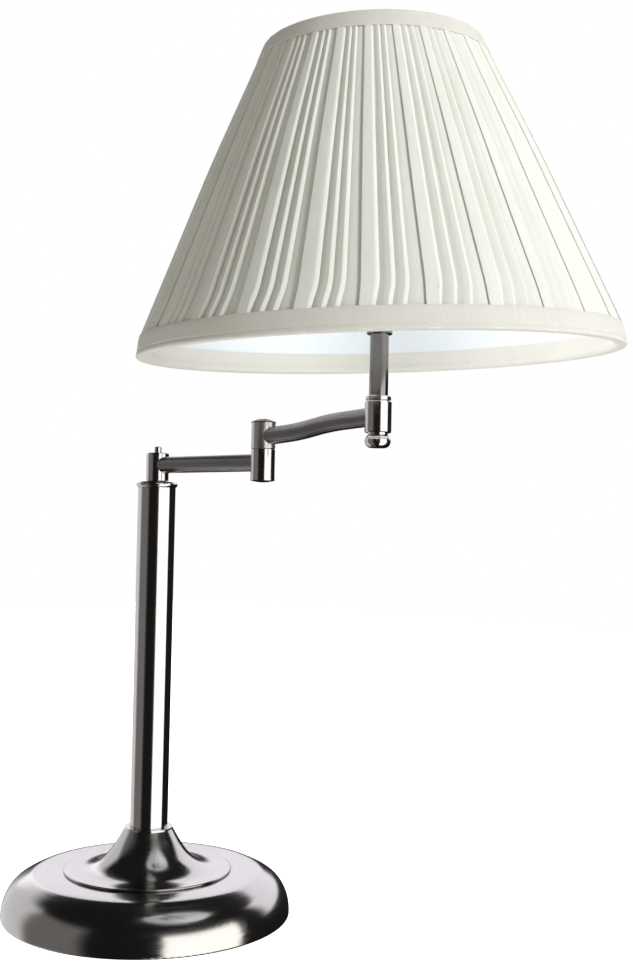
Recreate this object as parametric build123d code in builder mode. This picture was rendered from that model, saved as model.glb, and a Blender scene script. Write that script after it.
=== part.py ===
from build123d import *
import os
from math import asin, cos, radians, sin, sqrt

# Swing-arm table lamp with a pleated empire shade. Millimetres, +Z up.
# The origin is the centre of the felt's underside; at rest both arms lie in line along +X.

# ---- driving dimensions: base and column ----
base_radius = 95.0
felt_radius = 89.0
felt_thickness = 2.0
plate_radius = 92.5
plate_thickness = 1.2
shell_wall = 1.2
lip_radius = 93.4  # where the shell's rolled lower edge ends
lip_low = 0.7
lip_land = 0.9
shoulder_foot = 1.9  # height where the shoulder starts to curve in
flat_radius = 66.6  # the dome's flat top starts here
dome_top = 29.0
shoulder_power = 2.23
ballast_radius = 78.0
ballast_top = 24.0
boss_radius = 20.0
pocket_radius = 48.0
pocket_ceiling = 14.0
cord_slot_width = 12.0
earth_y = 28.0
earth_screw_depth = 6.0
earth_screw_head = 3.5
earth_screw_rise = 2.4
tag_radius = 3.8
tag_thickness = 0.8
tag_tongue = 8.0
tag_tongue_width = 2.4
disc_radius = 55.4
disc_top = 30.5
cone_wall = 1.3
cone_top_radius = 16.0
cone_top = 57.4
cone_rim = 1.2  # upright land at the flare's top
cone_foot_radius = 48.0  # where the flare runs out into the disc
cone_flare = ((23.5, 43.5), (29.0, 30.4))  # control points of the flare's outer curve
cone_flare_inside = ((28.0, 29.2), (22.4, 42.6))
cone_lid = 3.4
disc_edge = 0.7
column_radius = 12.5
column_wall = 1.2
column_foot = 32.0
column_top = 283.7
seat_spigot_top = 42.0
cap_radius = 13.75
cap_top = 287.7
cap_spigot_low = 274.0

# ---- driving dimensions: tie tube, pivots and leads ----
tie_radius = 5.0
tie_bore = 3.2
tie_low = 7.0
tie_top = 281.5
tie_nut_low = 7.5
tie_washer_low = 13.0
tie_nut_half_width = 8.5
tie_washer_radius = 10.0
nipple_radius = 4.0
nipple_bore = 2.4
pivot_clearance = 0.05  # running fit of a knuckle on its hollow pivot
lead_radius = 1.5
chamber_radius = 6.0
thrust_bore = 4.3
thrust_radius = 6.1
thrust_recess_radius = 6.4
thrust_recess_depth = 0.9
joint_gap = 0.3
spring_washer_thickness = 0.8
ring_nut_thickness = 2.4
ring_nut_radius = 5.6
nipple_stand = 0.6  # how far a pivot tube stands out of its ring nut

# ---- driving dimensions: arms and knuckles ----
arm_radius = 5.5
arm_bore = 4.3
hub_radius = 7.5
hub_top = 307.0
hub_shelf = 293.2
hub_plug_low = 305.2
pin_radius = 2.35
pin_top = 311.3
lower_arm_height = 298.9
lower_arm_length = 98.0
wire_hole = 3.4
elbow_radius = 7.5
elbow_low = 288.3
elbow_split = 307.2
elbow_top = 323.65
elbow_web = 3.0  # thickness of the lower half's top wall
elbow_floor = 2.5  # thickness of the upper half's bottom wall
cap_overhang = 0.2
elbow_top_dome = 2.7
elbow_bottom_dome = 1.8
dome_edge = 0.6
spigot_length = 2.0
upper_arm_length = 91.0
upper_arm_rise = [(0.0, 314.9), (30.0, 317.2), (54.0, 321.7), (91.0, 324.2)]
upper_arm_bend = 180.0
upper_lead_rise = [(12.0, 315.9), (30.0, 317.3), (54.0, 321.5), (79.0, 322.9)]
upper_lead_bends = [1.9, 8.0, 60.0, 60.0, 8.0, 2.6]
knuckle_radius = 7.75
knuckle_low = 314.4
knuckle_top = 332.6
knuckle_floor = 3.0
knuckle_wire_height = 322.6
knuckle_wire_hole = 3.0
ball_radius = 7.5
ball_low = 305.7
ball_middle = 309.9
ball_foot = 4.6
ball_belly = (6.6, 306.9)  # on the ball's lower curve
ball_shoulder = (6.9, 312.0)  # on its upper curve
groove_radius = 5.8
groove_low = 313.2
ring_radius = 7.3
ring_top = 335.7
neck_bore = 4.0
neck_foot = 326.6
neck_shoulder = 371.4
neck_thread_top = 383.8
flange_radius = 7.5
flange_top = 375.4

# ---- driving dimensions: lampholder and bulb ----
holder_boss = 8.0
holder_radius = 19.0
holder_wall = 1.5
holder_round_start = 11.0
holder_round = (16.6, 377.8)  # on the cap's outer round
holder_round_inside = (15.2, 379.2)
holder_cap_top = 395.8
insert_radius = 17.3
insert_low = 386.8
insert_top = 394.8
insert_hole_pitch = 11.0
body_radius = 19.8
body_bore = 17.4
body_top = 433.8
collar_radius = 23.0
collar_low = 400.8
collar_top = 403.8
fitter_bore = 20.3
fitter_radius = 26.0
fitter_thickness = 1.5
ring_nut_height = 7.5
ring_nut_flange = 1.5
ring_nut_skirt = 22.0
thread_shell_radius = 13.9
thread_shell_bore = 13.5
thread_shell_top = 420.8
contact_radius = 3.5
contact_top = 397.3
bulb_cap_radius = 13.2
bulb_cap_low = 399.8
bulb_cap_top = 424.8
bulb_cap_foot = 9.0
bulb_tip_radius = 4.5
bulb_tip_thickness = 0.8
bulb_radius = 30.0
bulb_top = 504.3
bulb_neck_radius = 12.6
bulb_neck_top = 433.8
glass_wall = 1.0

# ---- driving dimensions: shade ----
shade_rim_height = 358.87  # height of the rim's centre above the table
shade_lean = 3.65  # degrees that the shade sits off square, towards -Y
rim_radius = 140.0
crown_radius = 62.5
shade_height = 177.3  # along the shade's own axis
tape_thickness = 0.6
cover_outset = 0.7  # the cover's outer face lies this far inside the tape's
cover_thickness = 2.3
liner_thickness = 0.5
rim_tape_outside = 12.7
crown_tape_outside = 10.0
tape_inside = 13.0
tape_return = 7.0
shade_wire = 1.5
wire_play = 0.02
strut_radius = 1.2
strut_reach = 32.0
strut_bend = 6.0
strut_count = 3

# ---- turning planes and axes ----
elbow_x = lower_arm_length
end_x = lower_arm_length + upper_arm_length
elbow_plane = Plane(origin=(elbow_x, 0, 0), x_dir=(1, 0, 0), z_dir=(0, -1, 0))
elbow_axis = Axis((elbow_x, 0, 0), (0, 0, 1))
end_plane = Plane(origin=(end_x, 0, 0), x_dir=(1, 0, 0), z_dir=(0, -1, 0))
end_axis = Axis((end_x, 0, 0), (0, 0, 1))
rim_centre = (end_x, 0, shade_rim_height)
lean = radians(shade_lean)
shade_axis = Axis(rim_centre, (0, -sin(lean), cos(lean)))
shade_plane = Plane(origin=rim_centre, x_dir=(1, 0, 0), z_dir=(0, -sin(lean), cos(lean)))
shade_section = Plane(origin=rim_centre, x_dir=(1, 0, 0), z_dir=(0, -cos(lean), -sin(lean)))

pieces = {}


def level(x, z):
    """A horizontal plane centred at x on the arms' line, at height z."""
    return Plane(origin=(x, 0, z), x_dir=(1, 0, 0), z_dir=(0, 0, 1))


def ring(x, low, high, outer, inner):
    """A plain ring or tube about a vertical axis at x."""
    with BuildPart() as piece:
        with BuildSketch(level(x, low)):
            Circle(outer)
            Circle(inner, mode=Mode.SUBTRACT)
        extrude(amount=high - low)
    return piece


def turned(plane, axis, points):
    """A piece turned about an axis from a straight-sided outline of (radius, height) points."""
    with BuildPart() as piece:
        with BuildSketch(plane):
            with BuildLine():
                Polyline(*points, close=True)
            make_face()
        revolve(axis=axis)
    return piece


def slotted_ring_nut(x, low):
    """A round nut on a pivot tube, with two slots for a pronged key."""
    with BuildPart() as piece:
        with BuildSketch(level(x, low)):
            Circle(ring_nut_radius)
            Circle(nipple_radius, mode=Mode.SUBTRACT)
        extrude(amount=ring_nut_thickness)
        with BuildSketch(level(x, low + ring_nut_thickness)):
            Rectangle(3 * ring_nut_radius, 1.2)
            Circle(nipple_radius, mode=Mode.SUBTRACT)
        extrude(amount=-1.0, mode=Mode.SUBTRACT)
    return piece


def knuckle_cap(x, seat, direction, radius, rise):
    """A low dome with a spigot; direction is 1 on top of a knuckle and -1 below it."""
    plane = Plane(origin=(x, 0, seat), x_dir=(1, 0, 0), z_dir=(0, -1, 0))
    edge = dome_edge * direction
    apex = (dome_edge + rise) * direction
    sphere = (radius**2 + rise**2) / (2 * rise)
    half = asin(radius / sphere) / 2
    middle = (sphere * sin(half), apex - direction * sphere * (1 - cos(half)))
    with BuildPart() as piece:
        with BuildSketch(plane):
            with BuildLine():
                Polyline(
                    (0, apex),
                    (0, -spigot_length * direction),
                    (chamber_radius, -spigot_length * direction),
                    (chamber_radius, 0),
                    (radius, 0),
                    (radius, edge),
                )
                ThreePointArc((radius, edge), middle, (0, apex))
            make_face()
        revolve(axis=Axis((x, 0, 0), (0, 0, 1)))
    return piece


# ---- base ----
plate_low = felt_thickness
plate_top = felt_thickness + plate_thickness
with BuildPart() as felt_pad:
    with BuildSketch(level(0, 0)):
        Circle(felt_radius)
    extrude(amount=felt_thickness)
pieces["felt_pad"] = felt_pad

screw_pitch = 63.0
screw_shank = 2.0
screw_head = 3.2
screw_depth = 8.0
with BuildPart() as bottom_plate:
    with BuildSketch(level(0, plate_low)):
        Circle(plate_radius)
        with PolarLocations(screw_pitch, 3, start_angle=90):
            Circle(screw_shank, mode=Mode.SUBTRACT)
    extrude(amount=plate_thickness)
    with PolarLocations(screw_pitch, 3, start_angle=90):
        with Locations((0, 0, plate_low)):
            Cone(
                screw_head,
                screw_shank,
                plate_thickness,
                align=(Align.CENTER, Align.CENTER, Align.MIN),
                mode=Mode.SUBTRACT,
            )
pieces["bottom_plate"] = bottom_plate

with BuildPart() as plate_screws:
    with PolarLocations(screw_pitch, 3, start_angle=90):
        with Locations((0, 0, plate_low)):
            Cone(screw_head, screw_shank, plate_thickness, align=(Align.CENTER, Align.CENTER, Align.MIN))
            Cylinder(screw_shank, plate_thickness + screw_depth, align=(Align.CENTER, Align.CENTER, Align.MIN))
pieces["plate_screws"] = plate_screws


def shoulder_point(turn, inset):
    """A point of the dome's shoulder, a superellipse from the rim (turn 0) to the flat top (turn 90)."""
    across = max(cos(radians(turn)), 0) ** (2 / shoulder_power)
    up = sin(radians(turn)) ** (2 / shoulder_power)
    reach = base_radius - inset - flat_radius
    rise = dome_top - inset - shoulder_foot
    return flat_radius + reach * across, shoulder_foot + rise * up


shoulder_turns = (0, 15, 32, 50, 68, 90)
outer_shoulder = [shoulder_point(turn, 0) for turn in shoulder_turns]
inner_shoulder = [shoulder_point(turn, shell_wall) for turn in shoulder_turns]
dome_under = dome_top - shell_wall
tie_hole = tie_radius + 0.2
cord_height = 11.0
cord_hole = 4.0
bushing_bore = 3.2
bushing_flange = 5.2
bushing_back = 6.0  # how far the bushing reaches inside the rim
bushing_groove = 3.8  # the inner flange starts here

with BuildPart() as base_shell:
    with BuildSketch(Plane.XZ):
        with BuildLine():
            ThreePointArc((lip_radius, lip_low), (base_radius - 0.4, 1.05), outer_shoulder[0])
            Spline(*outer_shoulder, tangents=((0, 1), (-1, 0)))
            Polyline(
                (flat_radius, dome_top),
                (tie_hole, dome_top),
                (tie_hole, dome_under),
                (flat_radius, dome_under),
            )
            Spline(*inner_shoulder, tangents=((0, 1), (-1, 0)))
            Polyline(
                inner_shoulder[0],
                (lip_radius - lip_land, lip_low),
                (lip_radius, lip_low),
            )
        make_face()
    revolve(axis=Axis.Z)
    with BuildSketch(Plane(origin=(-base_radius, 0, cord_height), x_dir=(0, 1, 0), z_dir=(1, 0, 0))):
        Circle(cord_hole)
    extrude(amount=base_radius / 4, both=True, mode=Mode.SUBTRACT)
pieces["base_shell"] = base_shell

with BuildPart() as ballast:
    with BuildSketch(Plane.XZ):
        with BuildLine():
            Polyline(
                (tie_hole, dome_under),
                (boss_radius, dome_under),
                (boss_radius, ballast_top),
                (ballast_radius - 4, ballast_top),
                (ballast_radius, ballast_top - 6),
                (ballast_radius, plate_top),
                (pocket_radius, plate_top),
                (pocket_radius, pocket_ceiling),
                (tie_hole, pocket_ceiling),
                close=True,
            )
        make_face()
    revolve(axis=Axis.Z)
    with BuildSketch(level(-(pocket_radius + ballast_radius) / 2, plate_top)):
        Rectangle(ballast_radius - pocket_radius + 10, cord_slot_width)
    extrude(amount=pocket_ceiling - plate_top, mode=Mode.SUBTRACT)
    with BuildSketch(level(0, plate_top)):
        with PolarLocations(screw_pitch, 3, start_angle=90):
            Circle(screw_shank)
    extrude(amount=screw_depth, mode=Mode.SUBTRACT)
    with BuildSketch(level(0, pocket_ceiling)):
        with Locations((0, earth_y)):
            Circle(screw_shank)
    extrude(amount=earth_screw_depth, mode=Mode.SUBTRACT)
pieces["ballast"] = ballast

with BuildPart() as cord_bushing:
    with BuildSketch(Plane.XZ):
        with BuildLine():
            Polyline(
                (-base_radius - shell_wall, cord_height + bushing_bore),
                (-base_radius - shell_wall, cord_height + bushing_flange),
                (-base_radius + 1.0, cord_height + bushing_flange + 0.8),
                (-base_radius + 1.4, cord_height + cord_hole),
                (-base_radius + bushing_groove, cord_height + cord_hole),
                (-base_radius + bushing_groove, cord_height + cord_hole + 1.0),
                (-base_radius + bushing_back, cord_height + cord_hole + 0.4),
                (-base_radius + bushing_back, cord_height + bushing_bore),
                close=True,
            )
        make_face()
    revolve(axis=Axis((0, 0, cord_height), (1, 0, 0)))
    add(base_shell.part, mode=Mode.SUBTRACT)
pieces["cord_bushing"] = cord_bushing

with BuildPart() as base_cone:
    with BuildSketch(Plane.XZ):
        with BuildLine():
            Line((column_radius, cone_top), (cone_top_radius, cone_top))
            Line((cone_top_radius, cone_top), (cone_top_radius, cone_top - cone_rim))
            Bezier(
                (cone_top_radius, cone_top - cone_rim),
                *cone_flare,
                (cone_foot_radius, disc_top),
            )
            Line((cone_foot_radius, disc_top), (disc_radius - disc_edge, disc_top))
            ThreePointArc(
                (disc_radius - disc_edge, disc_top),
                (disc_radius, (disc_top + dome_top) / 2),
                (disc_radius - disc_edge, dome_top),
            )
            Line((disc_radius - disc_edge, dome_top), (cone_foot_radius, dome_top))
            Bezier(
                (cone_foot_radius, dome_top),
                *cone_flare_inside,
                (cone_top_radius - cone_wall, cone_top - cone_lid),
            )
            Polyline(
                (cone_top_radius - cone_wall, cone_top - cone_lid),
                (column_radius, cone_top - cone_lid),
                (column_radius, cone_top),
            )
        make_face()
    revolve(axis=Axis.Z)
pieces["base_cone"] = base_cone

column_bore = column_radius - column_wall
pieces["column_seat"] = turned(
    Plane.XZ,
    Axis.Z,
    [
        (tie_hole, dome_top),
        (column_radius + 2, dome_top),
        (column_radius + 2, column_foot),
        (column_bore, column_foot),
        (column_bore, seat_spigot_top),
        (tie_hole, seat_spigot_top),
    ],
)
pieces["column_tube"] = ring(0, column_foot, column_top, column_radius, column_bore)
pieces["tie_tube"] = ring(0, tie_low, tie_top, tie_radius, tie_bore)
pieces["tie_washer"] = ring(0, tie_washer_low, pocket_ceiling, tie_washer_radius, tie_hole)

with BuildPart() as tie_nut:
    with BuildSketch(level(0, tie_nut_low)):
        RegularPolygon(tie_nut_half_width, 6, major_radius=False)
        Circle(tie_radius, mode=Mode.SUBTRACT)
    extrude(amount=tie_washer_low - tie_nut_low)
pieces["tie_nut"] = tie_nut

# ---- wiring inside the base ----
block_low = 4.4
block_x = -26.0
block_length = 18.0
block_width = 16.0
terminal_radius = 1.6
terminal_depth = 5.0
terminal_screw_low = 2.0
earth_lead_radius = 0.9
earth_lead_height = 9.0
earth_lead_bend = 2.0
with BuildPart() as terminal_block:
    with BuildSketch(level(block_x, block_low)):
        Rectangle(block_length, block_width)
    extrude(amount=pocket_ceiling - block_low)
    with BuildSketch(level(block_x, block_low)):
        with GridLocations(block_length / 2, block_width / 3, 2, 3):
            Circle(terminal_radius)
    extrude(amount=terminal_depth, mode=Mode.SUBTRACT)
pieces["terminal_block"] = terminal_block

with BuildPart() as terminal_screws:
    with BuildSketch(level(block_x, block_low + terminal_screw_low)):
        with GridLocations(block_length / 2, block_width / 3, 2, 3):
            Circle(terminal_radius)
    extrude(amount=terminal_depth - terminal_screw_low)
pieces["terminal_screws"] = terminal_screws

lead_height = 5.2
lead_bend = 4.0
tag_low = pocket_ceiling - tag_thickness
with BuildPart() as earth_screw:
    with BuildSketch(level(0, pocket_ceiling)):
        with Locations((0, earth_y)):
            Circle(screw_shank)
    extrude(amount=earth_screw_depth)
    with BuildSketch(level(0, tag_low)):
        with Locations((0, earth_y)):
            Circle(screw_shank)
    extrude(amount=tag_thickness)
    with BuildSketch(level(0, tag_low)):
        with Locations((0, earth_y)):
            Circle(earth_screw_head)
    extrude(amount=-earth_screw_rise)
pieces["earth_screw"] = earth_screw

with BuildPart() as earth_tag:
    with BuildSketch(level(0, tag_low)):
        with Locations((0, earth_y)):
            Circle(tag_radius)
        with Locations((-tag_tongue + screw_shank, earth_y)):
            Rectangle(tag_tongue, tag_tongue_width)
        with Locations((0, earth_y)):
            Circle(screw_shank, mode=Mode.SUBTRACT)
    extrude(amount=tag_thickness)
pieces["earth_tag"] = earth_tag

with BuildPart() as earth_lead:
    with BuildLine():
        FilletPolyline(
            (block_x, block_width / 2, earth_lead_height),
            (block_x, earth_y, earth_lead_height),
            (-tag_tongue - 1, earth_y, earth_lead_height),
            (-tag_tongue - 1, earth_y, tag_low),
            radius=earth_lead_bend,
        )
    with BuildSketch(Plane(origin=(block_x, block_width / 2, earth_lead_height), z_dir=(0, 1, 0))):
        Circle(earth_lead_radius)
    sweep()
pieces["earth_lead"] = earth_lead

nipple_low = tie_top
hub_nut_low = hub_shelf + spring_washer_thickness
hub_nipple_top = hub_nut_low + ring_nut_thickness + nipple_stand
with BuildPart() as column_lead:
    with BuildLine():
        FilletPolyline(
            (block_x + block_length / 2, 0, lead_height),
            (0, 0, lead_height),
            (0, 0, hub_nipple_top),
            radius=lead_bend,
        )
    with BuildSketch(Plane(origin=(block_x + block_length / 2, 0, lead_height), z_dir=(1, 0, 0))):
        Circle(lead_radius)
    sweep()
pieces["column_lead"] = column_lead

# ---- column cap and its pivot tube ----
bead_round = (cap_top - column_top) / 2
with BuildPart() as column_cap:
    with BuildSketch(Plane.XZ):
        with BuildLine():
            Polyline(
                (cap_radius - bead_round, column_top),
                (column_bore, column_top),
                (column_bore, cap_spigot_low),
                (tie_radius, cap_spigot_low),
                (tie_radius, tie_top),
                (nipple_radius, tie_top),
                (nipple_radius, cap_top),
                (cap_radius - bead_round, cap_top),
            )
            ThreePointArc(
                (cap_radius - bead_round, cap_top),
                (cap_radius, (cap_top + column_top) / 2),
                (cap_radius - bead_round, column_top),
            )
        make_face()
    revolve(axis=Axis.Z)
pieces["column_cap"] = column_cap
pieces["pivot_tube"] = ring(0, nipple_low, hub_nipple_top, nipple_radius, nipple_bore)
pieces["pivot_thrust_washer"] = ring(
    0, cap_top, cap_top + joint_gap + thrust_recess_depth, thrust_radius, thrust_bore
)
pieces["pivot_spring_washer"] = ring(0, hub_shelf, hub_nut_low, ring_nut_radius, nipple_radius)
pieces["pivot_ring_nut"] = slotted_ring_nut(0, hub_nut_low)

# ---- hub and lower arm ----
hub_low = cap_top + joint_gap
pivot_bore = nipple_radius + pivot_clearance
with BuildPart() as hub:
    with BuildSketch(Plane.XZ):
        with BuildLine():
            Polyline(
                (hub_radius, hub_low + 0.4),
                (hub_radius - 0.4, hub_low),
                (thrust_recess_radius, hub_low),
                (thrust_recess_radius, hub_low + thrust_recess_depth),
                (pivot_bore, hub_low + thrust_recess_depth),
                (pivot_bore, hub_shelf),
                (chamber_radius, hub_shelf),
                (chamber_radius, hub_top),
                (hub_radius - 0.4, hub_top),
                (hub_radius, hub_top - 0.4),
                close=True,
            )
        make_face()
    revolve(axis=Axis.Z)
    with BuildSketch(Plane(origin=(0, 0, lower_arm_height), z_dir=(1, 0, 0))):
        Circle(wire_hole)
    extrude(amount=2 * hub_radius, mode=Mode.SUBTRACT)
pieces["hub"] = hub

with BuildPart() as hub_plug:
    with BuildSketch(Plane.XZ):
        with BuildLine():
            Polyline(
                (0, hub_plug_low),
                (chamber_radius, hub_plug_low),
                (chamber_radius, hub_top),
                (pin_radius, hub_top),
                (pin_radius, pin_top - 0.4),
                (pin_radius - 0.4, pin_top),
                (0, pin_top),
                close=True,
            )
        make_face()
    revolve(axis=Axis.Z)
pieces["hub_plug"] = hub_plug

with BuildPart() as lower_arm_tube:
    with BuildSketch(Plane(origin=(0, 0, lower_arm_height), z_dir=(1, 0, 0))):
        Circle(arm_radius)
        Circle(arm_bore, mode=Mode.SUBTRACT)
    extrude(amount=lower_arm_length)
    with BuildSketch(level(0, hub_low)):
        Circle(hub_radius)
        with Locations((elbow_x, 0)):
            Circle(elbow_radius)
    extrude(amount=hub_top - hub_low + 10, mode=Mode.SUBTRACT)
pieces["lower_arm_tube"] = lower_arm_tube

elbow_chamber_top = elbow_split - elbow_web
with BuildPart() as elbow_lower:
    with BuildSketch(elbow_plane):
        with BuildLine():
            Polyline(
                (elbow_radius, elbow_low),
                (chamber_radius, elbow_low),
                (chamber_radius, elbow_chamber_top),
                (nipple_radius, elbow_chamber_top),
                (nipple_radius, elbow_split),
                (elbow_radius - 0.2, elbow_split),
                (elbow_radius, elbow_split - 0.2),
                close=True,
            )
        make_face()
    revolve(axis=elbow_axis)
    with BuildSketch(Plane(origin=(0, 0, lower_arm_height), z_dir=(1, 0, 0))):
        Circle(wire_hole)
    extrude(amount=elbow_x, mode=Mode.SUBTRACT)
pieces["elbow_lower"] = elbow_lower
pieces["elbow_lower_cap"] = knuckle_cap(
    elbow_x, elbow_low, -1, elbow_radius + cap_overhang, elbow_bottom_dome - dome_edge
)

elbow_upper_low = elbow_split + joint_gap
elbow_shelf = elbow_upper_low + elbow_floor
elbow_nut_low = elbow_shelf + spring_washer_thickness
elbow_nipple_top = elbow_nut_low + ring_nut_thickness + nipple_stand
pieces["elbow_pivot_tube"] = ring(
    elbow_x, elbow_chamber_top, elbow_nipple_top, nipple_radius, nipple_bore
)
pieces["elbow_thrust_washer"] = ring(
    elbow_x, elbow_split, elbow_upper_low + thrust_recess_depth, thrust_radius, thrust_bore
)
pieces["elbow_spring_washer"] = ring(
    elbow_x, elbow_shelf, elbow_nut_low, ring_nut_radius, nipple_radius
)
pieces["elbow_ring_nut"] = slotted_ring_nut(elbow_x, elbow_nut_low)

with BuildPart() as lower_arm_lead:
    with BuildLine():
        FilletPolyline(
            (2.0, 0, lower_arm_height),
            (elbow_x, 0, lower_arm_height),
            (elbow_x, 0, elbow_nipple_top),
            radius=2 * lead_radius,
        )
    with BuildSketch(Plane(origin=(2.0, 0, lower_arm_height), z_dir=(1, 0, 0))):
        Circle(lead_radius)
    sweep()
pieces["lower_arm_lead"] = lower_arm_lead

# ---- upper half of the elbow and the upper arm ----
arm_route = [(elbow_x + along, 0, height) for along, height in upper_arm_rise]
arm_start = Plane(
    origin=arm_route[0],
    z_dir=(arm_route[1][0] - arm_route[0][0], 0, arm_route[1][2] - arm_route[0][2]),
)
with BuildPart() as elbow_upper:
    with BuildSketch(elbow_plane):
        with BuildLine():
            Polyline(
                (elbow_radius, elbow_upper_low + 0.2),
                (elbow_radius - 0.2, elbow_upper_low),
                (thrust_recess_radius, elbow_upper_low),
                (thrust_recess_radius, elbow_upper_low + thrust_recess_depth),
                (pivot_bore, elbow_upper_low + thrust_recess_depth),
                (pivot_bore, elbow_shelf),
                (chamber_radius, elbow_shelf),
                (chamber_radius, elbow_top),
                (elbow_radius, elbow_top),
                close=True,
            )
        make_face()
    revolve(axis=elbow_axis)
    with BuildSketch(arm_start):
        Circle(wire_hole)
    extrude(amount=2 * elbow_radius, mode=Mode.SUBTRACT)
pieces["elbow_upper"] = elbow_upper
pieces["elbow_upper_cap"] = knuckle_cap(
    elbow_x, elbow_top, 1, elbow_radius + cap_overhang, elbow_top_dome - dome_edge
)

with BuildPart() as upper_arm_tube:
    with BuildLine():
        FilletPolyline(*arm_route, radius=upper_arm_bend)
    with BuildSketch(arm_start):
        Circle(arm_radius)
        Circle(arm_bore, mode=Mode.SUBTRACT)
    sweep()
    with BuildSketch(level(elbow_x, elbow_upper_low)):
        Circle(elbow_radius)
        with Locations((upper_arm_length, 0)):
            Circle(knuckle_radius)
    extrude(amount=elbow_top - elbow_upper_low + 20, mode=Mode.SUBTRACT)
pieces["upper_arm_tube"] = upper_arm_tube

# ---- end knuckle, ball finial, collar and neck ----
with BuildPart() as end_knuckle:
    with BuildSketch(end_plane):
        with BuildLine():
            Polyline(
                (knuckle_radius - 0.5, knuckle_low),
                (nipple_radius, knuckle_low),
                (nipple_radius, knuckle_low + knuckle_floor),
                (chamber_radius, knuckle_low + knuckle_floor),
                (chamber_radius, neck_foot),
                (arm_radius, neck_foot),
                (arm_radius, knuckle_top),
                (knuckle_radius - 0.5, knuckle_top),
                (knuckle_radius, knuckle_top - 0.5),
                (knuckle_radius, knuckle_low + 0.5),
                close=True,
            )
        make_face()
    revolve(axis=end_axis)
    with BuildSketch(Plane(origin=(end_x, 0, knuckle_wire_height), z_dir=(-1, 0, 0))):
        Circle(knuckle_wire_hole)
    extrude(amount=2 * knuckle_radius, mode=Mode.SUBTRACT)
pieces["end_knuckle"] = end_knuckle

with BuildPart() as ball_finial:
    with BuildSketch(end_plane):
        with BuildLine():
            Line((0, ball_low), (ball_foot, ball_low))
            ThreePointArc((ball_foot, ball_low), ball_belly, (ball_radius, ball_middle))
            ThreePointArc((ball_radius, ball_middle), ball_shoulder, (groove_radius, groove_low))
            Polyline(
                (groove_radius, groove_low),
                (groove_radius, knuckle_low),
                (nipple_radius, knuckle_low),
                (nipple_radius, knuckle_low + knuckle_floor),
                (0, knuckle_low + knuckle_floor),
                (0, ball_low),
            )
        make_face()
    revolve(axis=end_axis)
pieces["ball_finial"] = ball_finial

pieces["end_ring"] = turned(
    end_plane,
    end_axis,
    [
        (arm_radius, knuckle_top),
        (6.5, knuckle_top),
        (6.5, knuckle_top + 0.4),
        (ring_radius - 0.5, knuckle_top + 0.4),
        (ring_radius, knuckle_top + 0.9),
        (ring_radius, ring_top - 0.6),
        (ring_radius - 0.6, ring_top),
        (arm_radius, ring_top),
    ],
)
pieces["neck_tube"] = turned(
    end_plane,
    end_axis,
    [
        (neck_bore, neck_foot),
        (arm_radius, neck_foot),
        (arm_radius, neck_shoulder),
        (tie_radius, neck_shoulder),
        (tie_radius, neck_thread_top),
        (neck_bore, neck_thread_top),
    ],
)
pieces["neck_flange"] = turned(
    end_plane,
    end_axis,
    [
        (tie_radius, neck_shoulder),
        (flange_radius - 0.4, neck_shoulder),
        (flange_radius, neck_shoulder + 0.4),
        (flange_radius, flange_top - 0.4),
        (flange_radius - 0.4, flange_top),
        (tie_radius, flange_top),
    ],
)

upper_lead_start = elbow_nipple_top + joint_gap
with BuildPart() as upper_arm_lead:
    with BuildLine():
        FilletPolyline(
            (elbow_x, 0, upper_lead_start),
            (elbow_x, 0, upper_lead_start + 2.3),
            *[(elbow_x + along, 0, height) for along, height in upper_lead_rise],
            (end_x, 0, upper_lead_rise[-1][1]),
            (end_x, 0, insert_low),
            radius=upper_lead_bends,
        )
    with BuildSketch(level(elbow_x, upper_lead_start)):
        Circle(lead_radius)
    sweep()
pieces["upper_arm_lead"] = upper_arm_lead

# ---- lampholder ----
with BuildPart() as holder_cap:
    with BuildSketch(end_plane):
        with BuildLine():
            Line((tie_radius, flange_top), (holder_round_start, flange_top))
            ThreePointArc(
                (holder_round_start, flange_top),
                holder_round,
                (holder_radius, neck_thread_top),
            )
            Polyline(
                (holder_radius, neck_thread_top),
                (holder_radius, holder_cap_top),
                (insert_radius, holder_cap_top),
                (insert_radius, neck_thread_top + 0.6),
            )
            ThreePointArc(
                (insert_radius, neck_thread_top + 0.6),
                holder_round_inside,
                (holder_round_start - 0.2, flange_top + holder_wall),
            )
            Polyline(
                (holder_round_start - 0.2, flange_top + holder_wall),
                (holder_boss, flange_top + holder_wall),
                (holder_boss, neck_thread_top),
                (tie_radius, neck_thread_top),
                (tie_radius, flange_top),
            )
        make_face()
    revolve(axis=end_axis)
pieces["holder_cap"] = holder_cap

with BuildPart() as holder_insert:
    with BuildSketch(level(end_x, insert_low)):
        Circle(insert_radius)
    extrude(amount=insert_top - insert_low)
    with BuildSketch(level(end_x, insert_low)):
        with PolarLocations(insert_hole_pitch, 3, start_angle=30):
            Circle(terminal_radius)
    extrude(amount=insert_top - insert_low, mode=Mode.SUBTRACT)
pieces["holder_insert"] = holder_insert

pieces["holder_body"] = turned(
    end_plane,
    end_axis,
    [
        (thread_shell_radius + 0.4, holder_cap_top),
        (body_radius, holder_cap_top),
        (body_radius, collar_low),
        (collar_radius, collar_low),
        (collar_radius, collar_top),
        (body_radius, collar_top),
        (body_radius, body_top),
        (body_bore, body_top),
        (body_bore, holder_cap_top + 2),
        (thread_shell_radius + 0.4, holder_cap_top + 2),
    ],
)
pieces["thread_shell"] = ring(
    end_x, insert_top, thread_shell_top, thread_shell_radius, thread_shell_bore
)
pieces["centre_contact"] = ring(end_x, insert_top, contact_top, contact_radius, 1.0)

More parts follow.
